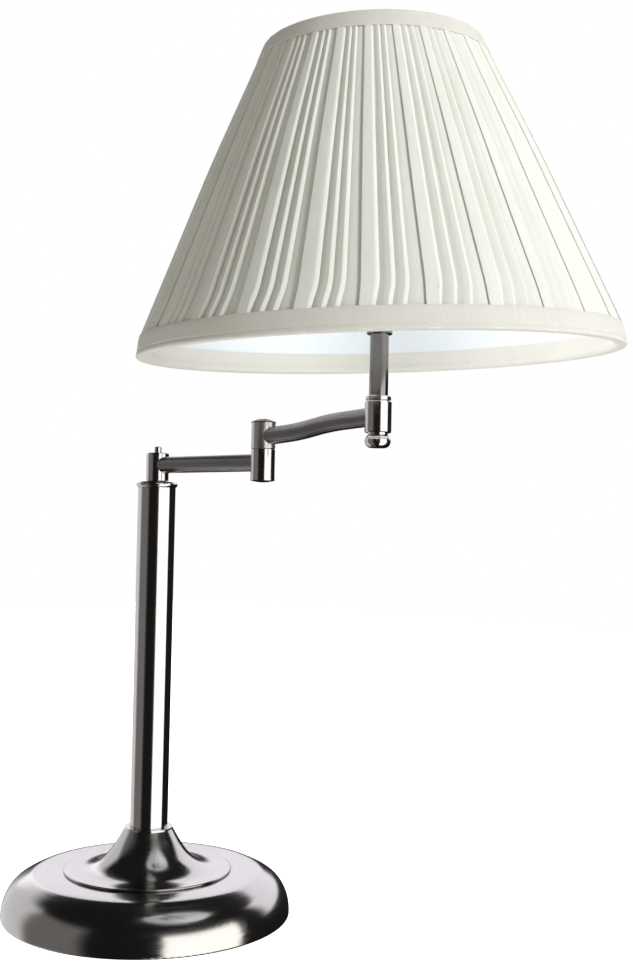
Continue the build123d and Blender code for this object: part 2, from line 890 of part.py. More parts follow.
fitter_top = collar_top + fitter_thickness
pieces["shade_ring_nut"] = turned(
    end_plane,
    end_axis,
    [
        (body_radius, fitter_top),
        (fitter_radius, fitter_top),
        (fitter_radius, fitter_top + ring_nut_flange),
        (ring_nut_skirt, fitter_top + ring_nut_flange),
        (ring_nut_skirt, fitter_top + ring_nut_height),
        (body_radius, fitter_top + ring_nut_height),
    ],
)

# ---- bulb ----
bulb_centre = bulb_top - bulb_radius
glass_angle = radians(35)


def envelope(radius, neck, top_of_neck):
    """The bulb's outline from its crown down to the neck: a round head, then a long curve inwards."""
    head = (radius * cos(glass_angle), bulb_centre - radius * sin(glass_angle))
    Line((0, bulb_cap_top - 2), (0, bulb_centre + radius))
    ThreePointArc((0, bulb_centre + radius), (radius, bulb_centre), head)
    slope = (-sin(glass_angle), -cos(glass_angle))
    Bezier(
        head,
        (head[0] + 9 * slope[0], head[1] + 9 * slope[1]),
        (neck, top_of_neck + 9),
        (neck, top_of_neck),
    )
    Polyline((neck, top_of_neck), (neck, bulb_cap_top - 2), (0, bulb_cap_top - 2))


with BuildPart() as bulb_glass:
    with BuildSketch(end_plane):
        with BuildLine():
            envelope(bulb_radius, bulb_neck_radius, bulb_neck_top)
        make_face()
    revolve(axis=end_axis)
    with BuildSketch(end_plane):
        with BuildLine():
            envelope(bulb_radius - glass_wall, bulb_neck_radius - glass_wall, bulb_neck_top)
        make_face()
    revolve(axis=end_axis, mode=Mode.SUBTRACT)
pieces["bulb_glass"] = bulb_glass
pieces["bulb_cap"] = turned(
    end_plane,
    end_axis,
    [
        (bulb_neck_radius, bulb_cap_top),
        (bulb_cap_radius, bulb_cap_top),
        (bulb_cap_radius, bulb_cap_low + 2),
        (bulb_cap_foot, bulb_cap_low),
        (bulb_cap_foot - 2, bulb_cap_low),
        (bulb_neck_radius, bulb_cap_low + 2.4),
    ],
)
pieces["bulb_insulator"] = turned(
    end_plane,
    end_axis,
    [
        (0, contact_top + bulb_tip_thickness),
        (bulb_tip_radius, contact_top + bulb_tip_thickness),
        (bulb_cap_foot, bulb_cap_low),
        (0, bulb_cap_low),
    ],
)
pieces["bulb_tip"] = ring(
    end_x, contact_top, contact_top + bulb_tip_thickness, bulb_tip_radius, 0.5
)

# ---- shade ----
taper = (rim_radius - crown_radius) / shade_height
slant = sqrt(1 + taper**2)
cover_inner = cover_outset + cover_thickness
liner_inner = cover_inner + liner_thickness
wire_inset = liner_inner + (shade_wire + wire_play) * slant
tape_wrap = liner_inner + 2 * (shade_wire + wire_play) * slant


def wall(v, inset):
    """Radius of the shade's wall at height v along its axis, inset from the tapes' outer face."""
    return rim_radius - taper * v - inset


def cone_shell(low, high, outer, inner):
    """A conical sheet of the shade between two insets, as a closed solid."""
    return turned(
        shade_section,
        shade_axis,
        [
            (wall(low, outer), low),
            (wall(high, outer), high),
            (wall(high, inner), high),
            (wall(low, inner), low),
        ],
    )


def tape(edge, way, width):
    """A folded tape over a rim: outside ply of that width, turn round the wire, inside ply."""
    ply = tape_thickness
    turn = edge + way * ply
    past_wire = turn + way * (2 * shade_wire + 0.2)
    back = edge + way * tape_return
    outside = edge + way * width
    inside = edge + way * tape_inside
    return turned(
        shade_section,
        shade_axis,
        [
            (wall(edge, 0), edge),
            (wall(outside, 0), outside),
            (wall(outside, ply), outside),
            (wall(turn, ply), turn),
            (wall(turn, tape_wrap), turn),
            (wall(past_wire, tape_wrap), past_wire),
            (wall(back, liner_inner), back),
            (wall(inside, liner_inner), inside),
            (wall(inside, liner_inner + ply), inside),
            (wall(back, liner_inner + ply), back),
            (wall(past_wire, tape_wrap + ply), past_wire),
            (wall(edge, tape_wrap + ply), edge),
        ],
    )


def wire_ring(v):
    """One of the shade's two wire rings, at height v along its axis."""
    with BuildPart() as piece:
        with BuildSketch(shade_section):
            with Locations((wall(v, wire_inset), v)):
                Circle(shade_wire)
        revolve(axis=shade_axis)
    return piece


cover_low = tape_thickness
cover_high = shade_height - tape_thickness
rim_wire = tape_thickness + shade_wire + wire_play
crown_wire = shade_height - rim_wire
pieces["shade_cover"] = cone_shell(cover_low, cover_high, cover_outset, cover_inner)
pieces["shade_liner"] = cone_shell(cover_low, cover_high, cover_inner, liner_inner)
pieces["shade_bottom_ring"] = wire_ring(rim_wire)
pieces["shade_top_ring"] = wire_ring(crown_wire)
pieces["shade_bottom_tape"] = tape(0, 1, rim_tape_outside)
pieces["shade_fitter"] = ring(end_x, collar_top, fitter_top, fitter_radius, fitter_bore)

strut_foot = fitter_bore + 3.7
strut_height = collar_top - strut_radius
crown_ring_radius = wall(crown_wire, wire_inset)
with BuildPart() as shade_struts:
    for turn in range(strut_count):
        around = radians(90 + 360 * turn / strut_count)
        foot = (end_x + strut_foot * cos(around), strut_foot * sin(around), strut_height)
        knee = (end_x + strut_reach * cos(around), strut_reach * sin(around), strut_height)
        head = shade_plane.from_local_coords(
            (crown_ring_radius * cos(around), crown_ring_radius * sin(around), crown_wire)
        )
        with BuildLine() as route:
            FilletPolyline(foot, knee, head, radius=strut_bend)
        with BuildSketch(Plane(origin=foot, z_dir=(cos(around), sin(around), 0))):
            Circle(strut_radius)
        sweep(path=route.line)
    add(pieces["shade_top_ring"].part, mode=Mode.SUBTRACT)
pieces["shade_struts"] = shade_struts

with BuildPart() as shade_top_tape:
    add(tape(shade_height, -1, crown_tape_outside).part)
    add(shade_struts.part, mode=Mode.SUBTRACT)
pieces["shade_top_tape"] = shade_top_tape

# ---- write each piece ----
os.makedirs("parts", exist_ok=True)
for name, piece in pieces.items():
    piece.part.label = name
    export_step(piece.part, f"parts/{name}.step")
    print(name, round(piece.part.volume))
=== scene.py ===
"""A swing-arm table lamp with a pleated shade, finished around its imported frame. Metres, +Z up."""

import logging
import math
import random
from dataclasses import dataclass, field
from enum import Enum
from typing import Protocol

import bmesh
import bpy
from mathutils import Matrix, Vector


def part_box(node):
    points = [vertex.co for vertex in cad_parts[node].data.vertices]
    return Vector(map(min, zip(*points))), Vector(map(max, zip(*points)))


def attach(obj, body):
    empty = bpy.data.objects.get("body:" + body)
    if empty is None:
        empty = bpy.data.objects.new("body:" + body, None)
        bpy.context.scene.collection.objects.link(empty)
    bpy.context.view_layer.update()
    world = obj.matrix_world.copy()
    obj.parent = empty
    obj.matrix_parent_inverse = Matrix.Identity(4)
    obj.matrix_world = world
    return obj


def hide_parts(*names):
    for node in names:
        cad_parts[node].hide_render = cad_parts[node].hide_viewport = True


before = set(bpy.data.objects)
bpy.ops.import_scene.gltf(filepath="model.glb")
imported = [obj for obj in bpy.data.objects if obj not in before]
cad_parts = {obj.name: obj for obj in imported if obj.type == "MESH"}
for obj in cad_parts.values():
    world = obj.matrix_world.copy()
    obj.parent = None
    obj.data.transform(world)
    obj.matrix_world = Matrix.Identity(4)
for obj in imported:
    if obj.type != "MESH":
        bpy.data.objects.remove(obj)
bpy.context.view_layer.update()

LOG = logging.getLogger("lamp")
MM = 0.001
SEED = 28
FINE_GRAIN = 9000.0  # pattern units per metre across fine scratches
BROAD_GRAIN = 900.0  # and across the slow change of a worn finish


class Body(str, Enum):
    """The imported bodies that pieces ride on."""

    BASE = "base"
    LOWER_ARM = "lower_arm"
    UPPER_ARM = "upper_arm"


class Brushing(Enum):
    """Which way the fine scratches of a metal finish run."""

    TURNED = "round the piece's upright axis"
    LENGTHWISE = "along X"
    UPRIGHT = "up and down"


# ---------------------------------------------------------------- node trees


class Tree:
    """A node tree, with short ways to add and join nodes."""

    def __init__(self, tree: bpy.types.NodeTree) -> None:
        """Empties the tree."""
        self.tree = tree
        self.tree.nodes.clear()

    def node(self, kind: str, **settings: object) -> bpy.types.Node:
        """Adds a node.

        Args:
            kind: the node's type.
            settings: its properties.

        Returns:
            The node.
        """
        made = self.tree.nodes.new(kind)
        for name, value in settings.items():
            setattr(made, name, value)
        return made

    def link(self, start: bpy.types.NodeSocket, end: bpy.types.NodeSocket) -> None:
        """Joins an output socket to an input socket."""
        self.tree.links.new(start, end)

    def joined(
        self, kind: str, first: bpy.types.NodeSocket, second: bpy.types.NodeSocket
    ) -> bpy.types.NodeSocket:
        """Joins two values by a maths operation.

        Args:
            kind: the operation.
            first: the first value.
            second: the second value.

        Returns:
            The result's socket.
        """
        made = self.node("ShaderNodeMath", operation=kind)
        self.link(first, made.inputs[0])
        self.link(second, made.inputs[1])
        return made.outputs[0]

    def step(self, value: bpy.types.NodeSocket, start: float, end: float) -> bpy.types.NodeSocket:
        """Makes a smooth step, which may rise or fall.

        Args:
            value: what the step depends on.
            start: where it is 0.
            end: where it is 1.

        Returns:
            The step's socket.
        """
        made = self.node("ShaderNodeMapRange", interpolation_type="SMOOTHSTEP")
        self.link(value, made.inputs["Value"])
        numbers = (start, end, 0.0, 1.0) if start < end else (end, start, 1.0, 0.0)
        for name, number in zip(("From Min", "From Max", "To Min", "To Max"), numbers):
            made.inputs[name].default_value = number
        return made.outputs["Result"]


class Graph(Tree):
    """A material's node tree round one principled shader."""

    def __init__(
        self, name: str, colour: tuple[float, float, float], rough: float, metal: float = 0.0
    ) -> None:
        """Starts a material with a principled shader.

        Args:
            name: the material's name.
            colour: base colour, linear.
            rough: roughness where nothing else drives it.
            metal: 1 for bare metal.
        """
        self.material = bpy.data.materials.new(name)
        self.material.use_nodes = True
        super().__init__(self.material.node_tree)
        self.shader = self.node("ShaderNodeBsdfPrincipled")
        output = self.node("ShaderNodeOutputMaterial")
        self.link(self.shader.outputs["BSDF"], output.inputs["Surface"])
        self.shader.inputs["Base Color"].default_value = (*colour, 1.0)
        self.shader.inputs["Roughness"].default_value = rough
        self.shader.inputs["Metallic"].default_value = metal

    def set(self, **values: float | tuple) -> None:
        """Sets shader inputs by name, with underscores for spaces."""
        for name, value in values.items():
            self.shader.inputs[name.replace("_", " ").title().replace("Ior", "IOR")].default_value = value

    def coordinates(self, centre: Vector, scale: tuple[float, float, float]) -> bpy.types.NodeSocket:
        """Object coordinates measured from a centre and scaled.

        Args:
            centre: the point that becomes the origin.
            scale: how many pattern units one metre is, along each axis.

        Returns:
            The vector socket.
        """
        place = self.node("ShaderNodeTexCoord").outputs["Object"]
        shift = self.node("ShaderNodeVectorMath", operation="SUBTRACT")
        shift.inputs[1].default_value = centre
        self.link(place, shift.inputs[0])
        grow = self.node("ShaderNodeVectorMath", operation="MULTIPLY")
        grow.inputs[1].default_value = scale
        self.link(shift.outputs[0], grow.inputs[0])
        return grow.outputs[0]

    def turned_coordinates(self, centre: Vector, across: float, round_: float) -> bpy.types.NodeSocket:
        """Coordinates that run round an upright axis: radius and height are fine, the turn is coarse.

        Args:
            centre: a point on the axis.
            across: pattern units per metre of radius and height.
            round_: pattern units per radian round the axis.

        Returns:
            The vector socket.
        """
        place = self.coordinates(centre, (1.0, 1.0, 1.0))
        parts = self.node("ShaderNodeSeparateXYZ")
        self.link(place, parts.inputs[0])
        flat = self.node("ShaderNodeVectorMath", operation="MULTIPLY")
        flat.inputs[1].default_value = (1.0, 1.0, 0.0)
        self.link(place, flat.inputs[0])
        radius = self.node("ShaderNodeVectorMath", operation="LENGTH")
        self.link(flat.outputs[0], radius.inputs[0])
        turn = self.node("ShaderNodeMath", operation="ARCTAN2")
        self.link(parts.outputs["Y"], turn.inputs[0])
        self.link(parts.outputs["X"], turn.inputs[1])
        joined = self.node("ShaderNodeCombineXYZ")
        self.link(self.scaled(radius.outputs["Value"], across), joined.inputs["X"])
        self.link(self.scaled(turn.outputs[0], round_), joined.inputs["Y"])
        self.link(self.scaled(parts.outputs["Z"], across), joined.inputs["Z"])
        return joined.outputs[0]

    def scaled(self, value: bpy.types.NodeSocket, factor: float) -> bpy.types.NodeSocket:
        """Multiplies a value.

        Args:
            value: the value's socket.
            factor: what it is multiplied by.

        Returns:
            The product's socket.
        """
        made = self.node("ShaderNodeMath", operation="MULTIPLY")
        self.link(value, made.inputs[0])
        made.inputs[1].default_value = factor
        return made.outputs[0]

    def noise(self, vector: bpy.types.NodeSocket, scale: float, detail: float = 2.0) -> bpy.types.NodeSocket:
        """Makes noise between 0 and 1.

        Args:
            vector: the coordinates.
            scale: how fine the noise is.
            detail: how many finer layers it has.

        Returns:
            The noise's socket.
        """
        made = self.node("ShaderNodeTexNoise")
        made.inputs["Scale"].default_value = scale
        made.inputs["Detail"].default_value = detail
        self.link(vector, made.inputs["Vector"])
        return made.outputs["Fac"]

    def ranged(
        self, value: bpy.types.NodeSocket, low: float, high: float, start: float = 0.3, end: float = 0.7
    ) -> bpy.types.NodeSocket:
        """Spreads a value over another range, and holds it there.

        Args:
            value: the value's socket.
            low: what start becomes.
            high: what end becomes.
            start: the low end of the value's own range.
            end: the high end of it.

        Returns:
            The new value's socket.
        """
        made = self.node("ShaderNodeMapRange")
        self.link(value, made.inputs["Value"])
        for name, number in (("From Min", start), ("From Max", end), ("To Min", low), ("To Max", high)):
            made.inputs[name].default_value = number
        return made.outputs["Result"]

    def mixed(self, factor: bpy.types.NodeSocket, first: tuple, second: tuple) -> bpy.types.NodeSocket:
        """Mixes two colours.

        Args:
            factor: the share of the second.
            first: a linear colour.
            second: the other.

        Returns:
            The colour's socket.
        """
        made = self.node("ShaderNodeMix", data_type="RGBA")
        self.link(factor, made.inputs["Factor"])
        made.inputs["A"].default_value = (*first, 1.0)
        made.inputs["B"].default_value = (*second, 1.0)
        return made.outputs["Result"]

    def colour(self, socket: bpy.types.NodeSocket) -> None:
        """Drives the base colour."""
        self.link(socket, self.shader.inputs["Base Color"])

    def rough(self, socket: bpy.types.NodeSocket) -> None:
        """Drives the roughness."""
        self.link(socket, self.shader.inputs["Roughness"])

    def bump(self, height: bpy.types.NodeSocket, depth: float, strength: float = 1.0) -> None:
        """Raises the surface by a height pattern.

        Args:
            height: the pattern, 0 to 1.
            depth: how deep the pattern is, in metres.
            strength: how much of it shows.
        """
        made = self.node("ShaderNodeBump")
        made.inputs["Distance"].default_value = depth
        made.inputs["Strength"].default_value = strength
        self.link(height, made.inputs["Height"])
        before = self.shader.inputs["Normal"]
        if before.is_linked:
            self.link(before.links[0].from_socket, made.inputs["Normal"])
        self.link(made.outputs["Normal"], before)


# ---------------------------------------------------------------- finishes


class Finish(Protocol):
    """What every finish offers."""

    def material(self, centre: Vector) -> bpy.types.Material:
        """Builds the material, with its pattern measured from the centre."""


@dataclass(frozen=True)
class BrushedMetal:
    """Bare or plated metal with fine scratches one way."""

    name: str
    colour: tuple[float, float, float]
    rough: float
    brushing: Brushing = Brushing.TURNED
    spread: float = 0.04
    scratch: float = 0.4e-6
    anisotropy: float = 0.0
    tint: float = 0.06

    def material(self, centre: Vector) -> bpy.types.Material:
        """Builds the material.

        Args:
            centre: a point on the axis that the scratches turn round.

        Returns:
            The material.
        """
        graph = Graph(self.name, self.colour, self.rough, metal=1.0)
        if self.brushing is Brushing.TURNED:
            fine = graph.turned_coordinates(centre, FINE_GRAIN, 9.0)
            broad = graph.turned_coordinates(centre, BROAD_GRAIN, 2.0)
        elif self.brushing is Brushing.LENGTHWISE:
            fine = graph.coordinates(centre, (120.0, FINE_GRAIN, FINE_GRAIN))
            broad = graph.coordinates(centre, (25.0, BROAD_GRAIN, BROAD_GRAIN))
        else:
            fine = graph.coordinates(centre, (FINE_GRAIN, FINE_GRAIN, 90.0))
            broad = graph.coordinates(centre, (BROAD_GRAIN, BROAD_GRAIN, 20.0))
        lines = graph.noise(fine, 1.0, 1.0)
        wear = graph.noise(broad, 1.0, 2.0)
        graph.rough(graph.ranged(wear, self.rough - self.spread, self.rough + self.spread))
        darker = tuple(channel * (1.0 - self.tint) for channel in self.colour)
        graph.colour(graph.mixed(graph.ranged(lines, 0.0, 1.0), darker, self.colour))
        graph.bump(lines, self.scratch)
        if self.anisotropy:
            graph.set(anisotropic=self.anisotropy, anisotropic_rotation=0.25)
            tangent = graph.node("ShaderNodeTangent", direction_type="RADIAL", axis="Z")
            graph.link(tangent.outputs[0], graph.shader.inputs["Tangent"])
        return graph.material


@dataclass(frozen=True)
class CastIron:
    """Rough black-painted casting."""

    name: str = "cast_iron"
    colour: tuple[float, float, float] = (0.035, 0.035, 0.038)

    def material(self, centre: Vector) -> bpy.types.Material:
        """Builds the material with a sand-cast grain.

        Args:
            centre: where the pattern is measured from.

        Returns:
            The material.
        """
        graph = Graph(self.name, self.colour, 0.75)
        grain = graph.noise(graph.coordinates(centre, (900.0, 900.0, 900.0)), 1.0, 4.0)
        graph.colour(graph.mixed(graph.ranged(grain, 0.0, 1.0), self.colour, (0.07, 0.068, 0.066)))
        graph.bump(grain, 0.25e-3)
        return graph.material


@dataclass(frozen=True)
class Moulding:
    """Moulded plastic, ceramic or lead insulation."""

    name: str
    colour: tuple[float, float, float]
    rough: float
    grain: float = 20e-6
    coat: float = 0.0
    translucence: float = 0.0

    def material(self, centre: Vector) -> bpy.types.Material:
        """Builds the material with a light moulded grain and slight cloudiness.

        Args:
            centre: where the pattern is measured from.

        Returns:
            The material.
        """
        graph = Graph(self.name, self.colour, self.rough)
        cloud = graph.noise(graph.coordinates(centre, (90.0, 90.0, 90.0)), 1.0, 3.0)
        grain = graph.noise(graph.coordinates(centre, (2200.0, 2200.0, 2200.0)), 1.0, 1.0)
        paler = tuple(min(1.0, channel * 1.07) for channel in self.colour)
        graph.colour(graph.mixed(graph.ranged(cloud, 0.0, 1.0), self.colour, paler))
        graph.rough(graph.ranged(cloud, self.rough - 0.04, self.rough + 0.05))
        graph.bump(grain, self.grain)
        graph.set(coat_weight=self.coat)
        if self.translucence:
            graph.set(subsurface_weight=self.translucence, subsurface_scale=0.004)
        return graph.material


@dataclass(frozen=True)
class OpalGlass:
    """The bulb's white-coated glass."""

    name: str = "opal_glass"
    colour: tuple[float, float, float] = (0.86, 0.86, 0.85)

    def material(self, centre: Vector) -> bpy.types.Material:
        """Builds the material: powdery white under a smooth glass face.

        Args:
            centre: where the pattern is measured from.

        Returns:
            The material.
        """
        graph = Graph(self.name, self.colour, 0.3)
        powder = graph.noise(graph.coordinates(centre, (140.0, 140.0, 60.0)), 1.0, 3.0)
        graph.colour(graph.mixed(graph.ranged(powder, 0.0, 1.0), self.colour, (0.9, 0.9, 0.9)))
        graph.set(coat_weight=0.6, coat_roughness=0.04, subsurface_weight=0.25, subsurface_scale=0.006)
        return graph.material


@dataclass(frozen=True)
class Felt:
    """Pressed felt under the base."""

    name: str = "felt"
    colour: tuple[float, float, float] = (0.018, 0.018, 0.02)

    def material(self, centre: Vector) -> bpy.types.Material:
        """Builds the material with matted fibres.

        Args:
            centre: where the pattern is measured from.

        Returns:
            The material.
        """
        graph = Graph(self.name, self.colour, 0.95)
        place = graph.coordinates(centre, (1.0, 1.0, 1.0))
        fibres = graph.noise(place, 1800.0, 4.0)
        graph.colour(graph.mixed(graph.ranged(fibres, 0.0, 1.0), self.colour, (0.05, 0.05, 0.055)))
        graph.bump(fibres, 0.2e-3)
        graph.set(sheen_weight=0.5, sheen_roughness=0.5)
        return graph.material


@dataclass(frozen=True)
class WovenCloth:
    """Woven cloth whose threads follow the piece's own UV map, which is in metres."""

    name: str
    colour: tuple[float, float, float]
    shade_colour: tuple[float, float, float]
    thread: float = 0.28e-3
    weave: float = 0.05e-3
    sheen: float = 0.25
    translucence: float = 0.0

    def material(self, centre: Vector) -> bpy.types.Material:
        """Builds the material: two sets of threads, slubs, and a slow change of colour.

        Args:
            centre: where the pattern is measured from.

        Returns:
            The material.
        """
        graph = Graph(self.name, self.colour, 0.82)
        place = graph.node("ShaderNodeUVMap", uv_map="cut").outputs["UV"]
        threads = []
        for direction in ("X", "Y"):
            wave = graph.node("ShaderNodeTexWave", wave_type="BANDS", bands_direction=direction)
            wave.inputs["Scale"].default_value = math.pi / (self.thread * 10.0)
            wave.inputs["Distortion"].default_value = 1.2
            wave.inputs["Detail"].default_value = 1.0
            graph.link(place, wave.inputs["Vector"])
            threads.append(wave.outputs["Fac"])
        weave = graph.joined("MULTIPLY", *threads)
        slubs = graph.node("ShaderNodeVectorMath", operation="MULTIPLY")
        slubs.inputs[1].default_value = (1600.0, 60.0, 1.0)
        graph.link(place, slubs.inputs[0])
        slub = graph.noise(slubs.outputs[0], 1.0, 2.0)
        cloud = graph.noise(graph.coordinates(centre, (28.0, 28.0, 28.0)), 1.0, 3.0)
        both = graph.joined("ADD", graph.scaled(slub, 0.5), graph.scaled(cloud, 0.5))
        share = graph.ranged(both, 0.0, 1.0, 0.35, 0.65)
        graph.colour(graph.mixed(share, self.shade_colour, self.colour))
        graph.bump(weave, self.weave, 0.6)
        graph.bump(slub, 0.04e-3, 0.5)
        graph.set(sheen_weight=self.sheen, sheen_roughness=0.4, specular_ior_level=0.25)
        if self.translucence:
            graph.set(subsurface_weight=self.translucence, subsurface_scale=0.003)
        return graph.material


@dataclass(frozen=True)
class LinerFilm:
    """The stiff white film inside the shade."""

    name: str = "liner_film"
    colour: tuple[float, float, float] = (0.83, 0.87, 0.9)

    def material(self, centre: Vector) -> bpy.types.Material:
        """Builds the material: a satin film with faint clouding.

        Args:
            centre: where the pattern is measured from.

        Returns:
            The material.
        """
        graph = Graph(self.name, self.colour, 0.5)
        cloud = graph.noise(graph.coordinates(centre, (22.0, 22.0, 9.0)), 1.0, 2.0)
        graph.colour(graph.mixed(graph.ranged(cloud, 0.0, 1.0), self.colour, (0.87, 0.9, 0.92)))
        graph.bump(graph.noise(graph.coordinates(centre, (900.0, 900.0, 900.0)), 1.0, 1.0), 10e-6)
        return graph.material


NICKEL = (0.56, 0.535, 0.52)
TURNED_NICKEL = BrushedMetal("turned_nickel", (0.5, 0.48, 0.465), 0.165, anisotropy=0.5)
DRAWN_NICKEL = BrushedMetal("drawn_nickel", NICKEL, 0.13, Brushing.UPRIGHT, spread=0.02, scratch=0.15e-6)
SATIN_NICKEL = BrushedMetal("satin_nickel", NICKEL, 0.3, Brushing.UPRIGHT, spread=0.03, scratch=0.3e-6)
# Painted shade: the neck's nickel is made darker to stand in for the dark reflection of the shade's unlit
# inner wall.
NECK_PAINTED_SHADE_NICKEL = BrushedMetal("neck_painted_shade_nickel", (0.22, 0.205, 0.195), 0.13, Brushing.UPRIGHT, spread=0.02)
# Painted shade: the elbow cap's nickel is made darker so its dome shows no bright reflection of the shade's
# inside.
CAP_PAINTED_SHADE_NICKEL = BrushedMetal("cap_painted_shade_nickel", (0.1, 0.095, 0.095), 0.28, scratch=0.3e-6)
ARM_NICKEL = BrushedMetal("arm_nickel", (0.27, 0.25, 0.245), 0.3, Brushing.LENGTHWISE, scratch=0.6e-6)
ZINC = BrushedMetal("zinc_steel", (0.55, 0.56, 0.58), 0.32, scratch=0.5e-6)
BRASS = BrushedMetal("contact_brass", (0.68, 0.49, 0.2), 0.28, scratch=0.5e-6)
ALUMINIUM = BrushedMetal("bulb_cap_metal", (0.72, 0.72, 0.73), 0.3, scratch=0.5e-6)
IRON = CastIron()
FELT = Felt()
OPAL = OpalGlass()
LINER = LinerFilm()
BLACK_PLASTIC = Moulding("black_plastic", (0.02, 0.02, 0.02), 0.45)
HOLDER_PLASTIC = Moulding("holder_plastic", (0.74, 0.73, 0.69), 0.3, coat=0.3)
WHITE_PLASTIC = Moulding("white_plastic", (0.74, 0.74, 0.71), 0.5)
NYLON = Moulding("nylon", (0.7, 0.69, 0.63), 0.45, translucence=0.2)
CERAMIC = Moulding("holder_ceramic", (0.76, 0.74, 0.68), 0.35, coat=0.5)
BLACK_GLASS = Moulding("black_glass", (0.015, 0.015, 0.018), 0.12, coat=0.8)
INSULATION = Moulding("lead_insulation", (0.68, 0.68, 0.66), 0.42)
WHITE_WIRE = Moulding("white_wire", (0.76, 0.76, 0.73), 0.35, grain=40e-6)
PLEATED = WovenCloth("pleated_cloth", (0.88, 0.87, 0.79), (0.835, 0.82, 0.735), translucence=0.04)
TAPE = WovenCloth("rim_tape", (0.78, 0.75, 0.69), (0.73, 0.7, 0.635), thread=0.35e-3, weave=0.06e-3)


# ---------------------------------------------------------------- mesh helpers


def node_centre(name: str) -> Vector:
    """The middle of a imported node's box."""
    low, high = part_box(name)
    return (low + high) / 2


def dress(names: tuple[str, ...], finish: Finish) -> None:
    """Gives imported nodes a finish, each with its pattern centred on its own axis.

    Args:
        names: the nodes.
        finish: what they are made of.
    """
    for name in names:
        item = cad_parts[name]
        made = finish.material(node_centre(name))
        item.data.materials.clear()
        item.data.materials.append(made)


def finished(
    name: str, shape: bmesh.types.BMesh, finish: Finish, body: Body, node: str
) -> bpy.types.Object:
    """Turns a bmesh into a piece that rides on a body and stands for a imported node.

    Args:
        name: the piece's name.
        shape: the mesh, in the row frame; it is freed.
        finish: what it is made of.
        body: the body that it rides on.
        node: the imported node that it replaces.

    Returns:
        The new object.
    """
    mesh = bpy.data.meshes.new(name)
    shape.to_mesh(mesh)
    shape.free()
    item = bpy.data.objects.new(name, mesh)
    bpy.context.scene.collection.objects.link(item)
    mesh.materials.append(finish.material(node_centre(node)))
    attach(item, body.value)
    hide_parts(node)
    LOG.info("%s: %d faces", name, len(mesh.polygons))
    return item


def smooth(shape: bmesh.types.BMesh, sharp_from: float = 40.0) -> None:
    """Shades faces smooth.

    Args:
        shape: the mesh.
        sharp_from: edges from this angle on, in degrees, stay sharp.
    """
    limit = math.radians(sharp_from)
    for face in shape.faces:
        face.smooth = True
    for edge in shape.edges:
        edge.smooth = len(edge.link_faces) == 2 and edge.calc_face_angle(0.0) < limit


def ease(value: float, start: float, end: float) -> float:
    """A smooth step from 0 at start to 1 at end."""
    share = min(max((value - start) / (end - start), 0.0), 1.0)
    return share * share * (3.0 - 2.0 * share)


def crowded(share: float, even: float) -> float:
    """A share of the way, with rows set closer near 0; where even is 1 they are all equal."""
    return even * share + (1.0 - even) * share * share


# ---------------------------------------------------------------- the shade


@dataclass
class ShadeForm:
    """The shade's own axes and slope, read from its two wire rings. Heights run up its axis from the rim."""

    rim_wire: float = 2.12 * MM
    swell: float = 2.5 * MM  # the layered cloth stands this far proud of a straight cone
    swell_full: float = 13.0 * MM  # reached at this height
    swell_fade: float = 0.55  # it fades from this share of the height
    swell_end: float = 0.15  # what is left of it at the crown
    origin: Vector = field(init=False)
    axis: Vector = field(init=False)
    side: Vector = field(init=False)
    height: float = field(init=False)
    taper: float = field(init=False)
    rim_radius: float = field(init=False)

    def __post_init__(self) -> None:
        """Reads the rings' places and sizes."""
        rim, crown = node_centre("shade_bottom_ring"), node_centre("shade_top_ring")
        self.axis = (crown - rim).normalized()
        self.origin = rim - self.axis * self.rim_wire
        self.side = self.axis.cross(Vector((1.0, 0.0, 0.0)))
        self.height = (crown - rim).length + 2 * self.rim_wire
        rim_low, rim_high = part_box("shade_bottom_ring")
        crown_low, crown_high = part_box("shade_top_ring")
        fall = (rim_high.x - rim_low.x - crown_high.x + crown_low.x) / 2
        self.taper = fall / (crown - rim).length
        tape_low, tape_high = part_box("shade_bottom_tape")
        self.rim_radius = (tape_high.x - tape_low.x) / 2

    @property
    def slant(self) -> float:
        """Cloth length per unit of height along the axis."""
        return math.sqrt(1.0 + self.taper**2)

    def wall(self, height: float, inset: float) -> float:
        """Finds the wall's radius.

        Args:
            height: height along the axis.
            inset: depth under the tapes' outer face.

        Returns:
            The radius.
        """
        fade = 1.0 - (1.0 - self.swell_end) * ease(height, self.swell_fade * self.height, self.height)
        swell = self.swell * ease(height, 0.0, self.swell_full) * fade
        return self.rim_radius - self.taper * height + swell - inset

    def radial(self, turn: float) -> Vector:
        """The outward direction at an angle round the axis."""
        return Vector((1.0, 0.0, 0.0)) * math.cos(turn) + self.side * math.sin(turn)

    def turn_of(self, place: Vector) -> float:
        """The angle round the axis at which a point lies."""
        out = place - self.origin
        return math.atan2(out.dot(self.side), out.x)

    def radius_of(self, place: Vector) -> float:
        """A point's distance from the axis."""
        out = place - self.origin
        return (out - self.axis * self.axis.dot(out)).length

    def point(self, turn: float, height: float, inset: float) -> Vector:
        """A point of the wall.

        Args:
            turn: angle round the axis from +X, in radians.
            height: height along the axis.
            inset: depth under the tapes' outer face.

        Returns:
            The point in the row frame.
        """
        return self.origin + self.axis * height + self.radial(turn) * self.wall(height, inset)


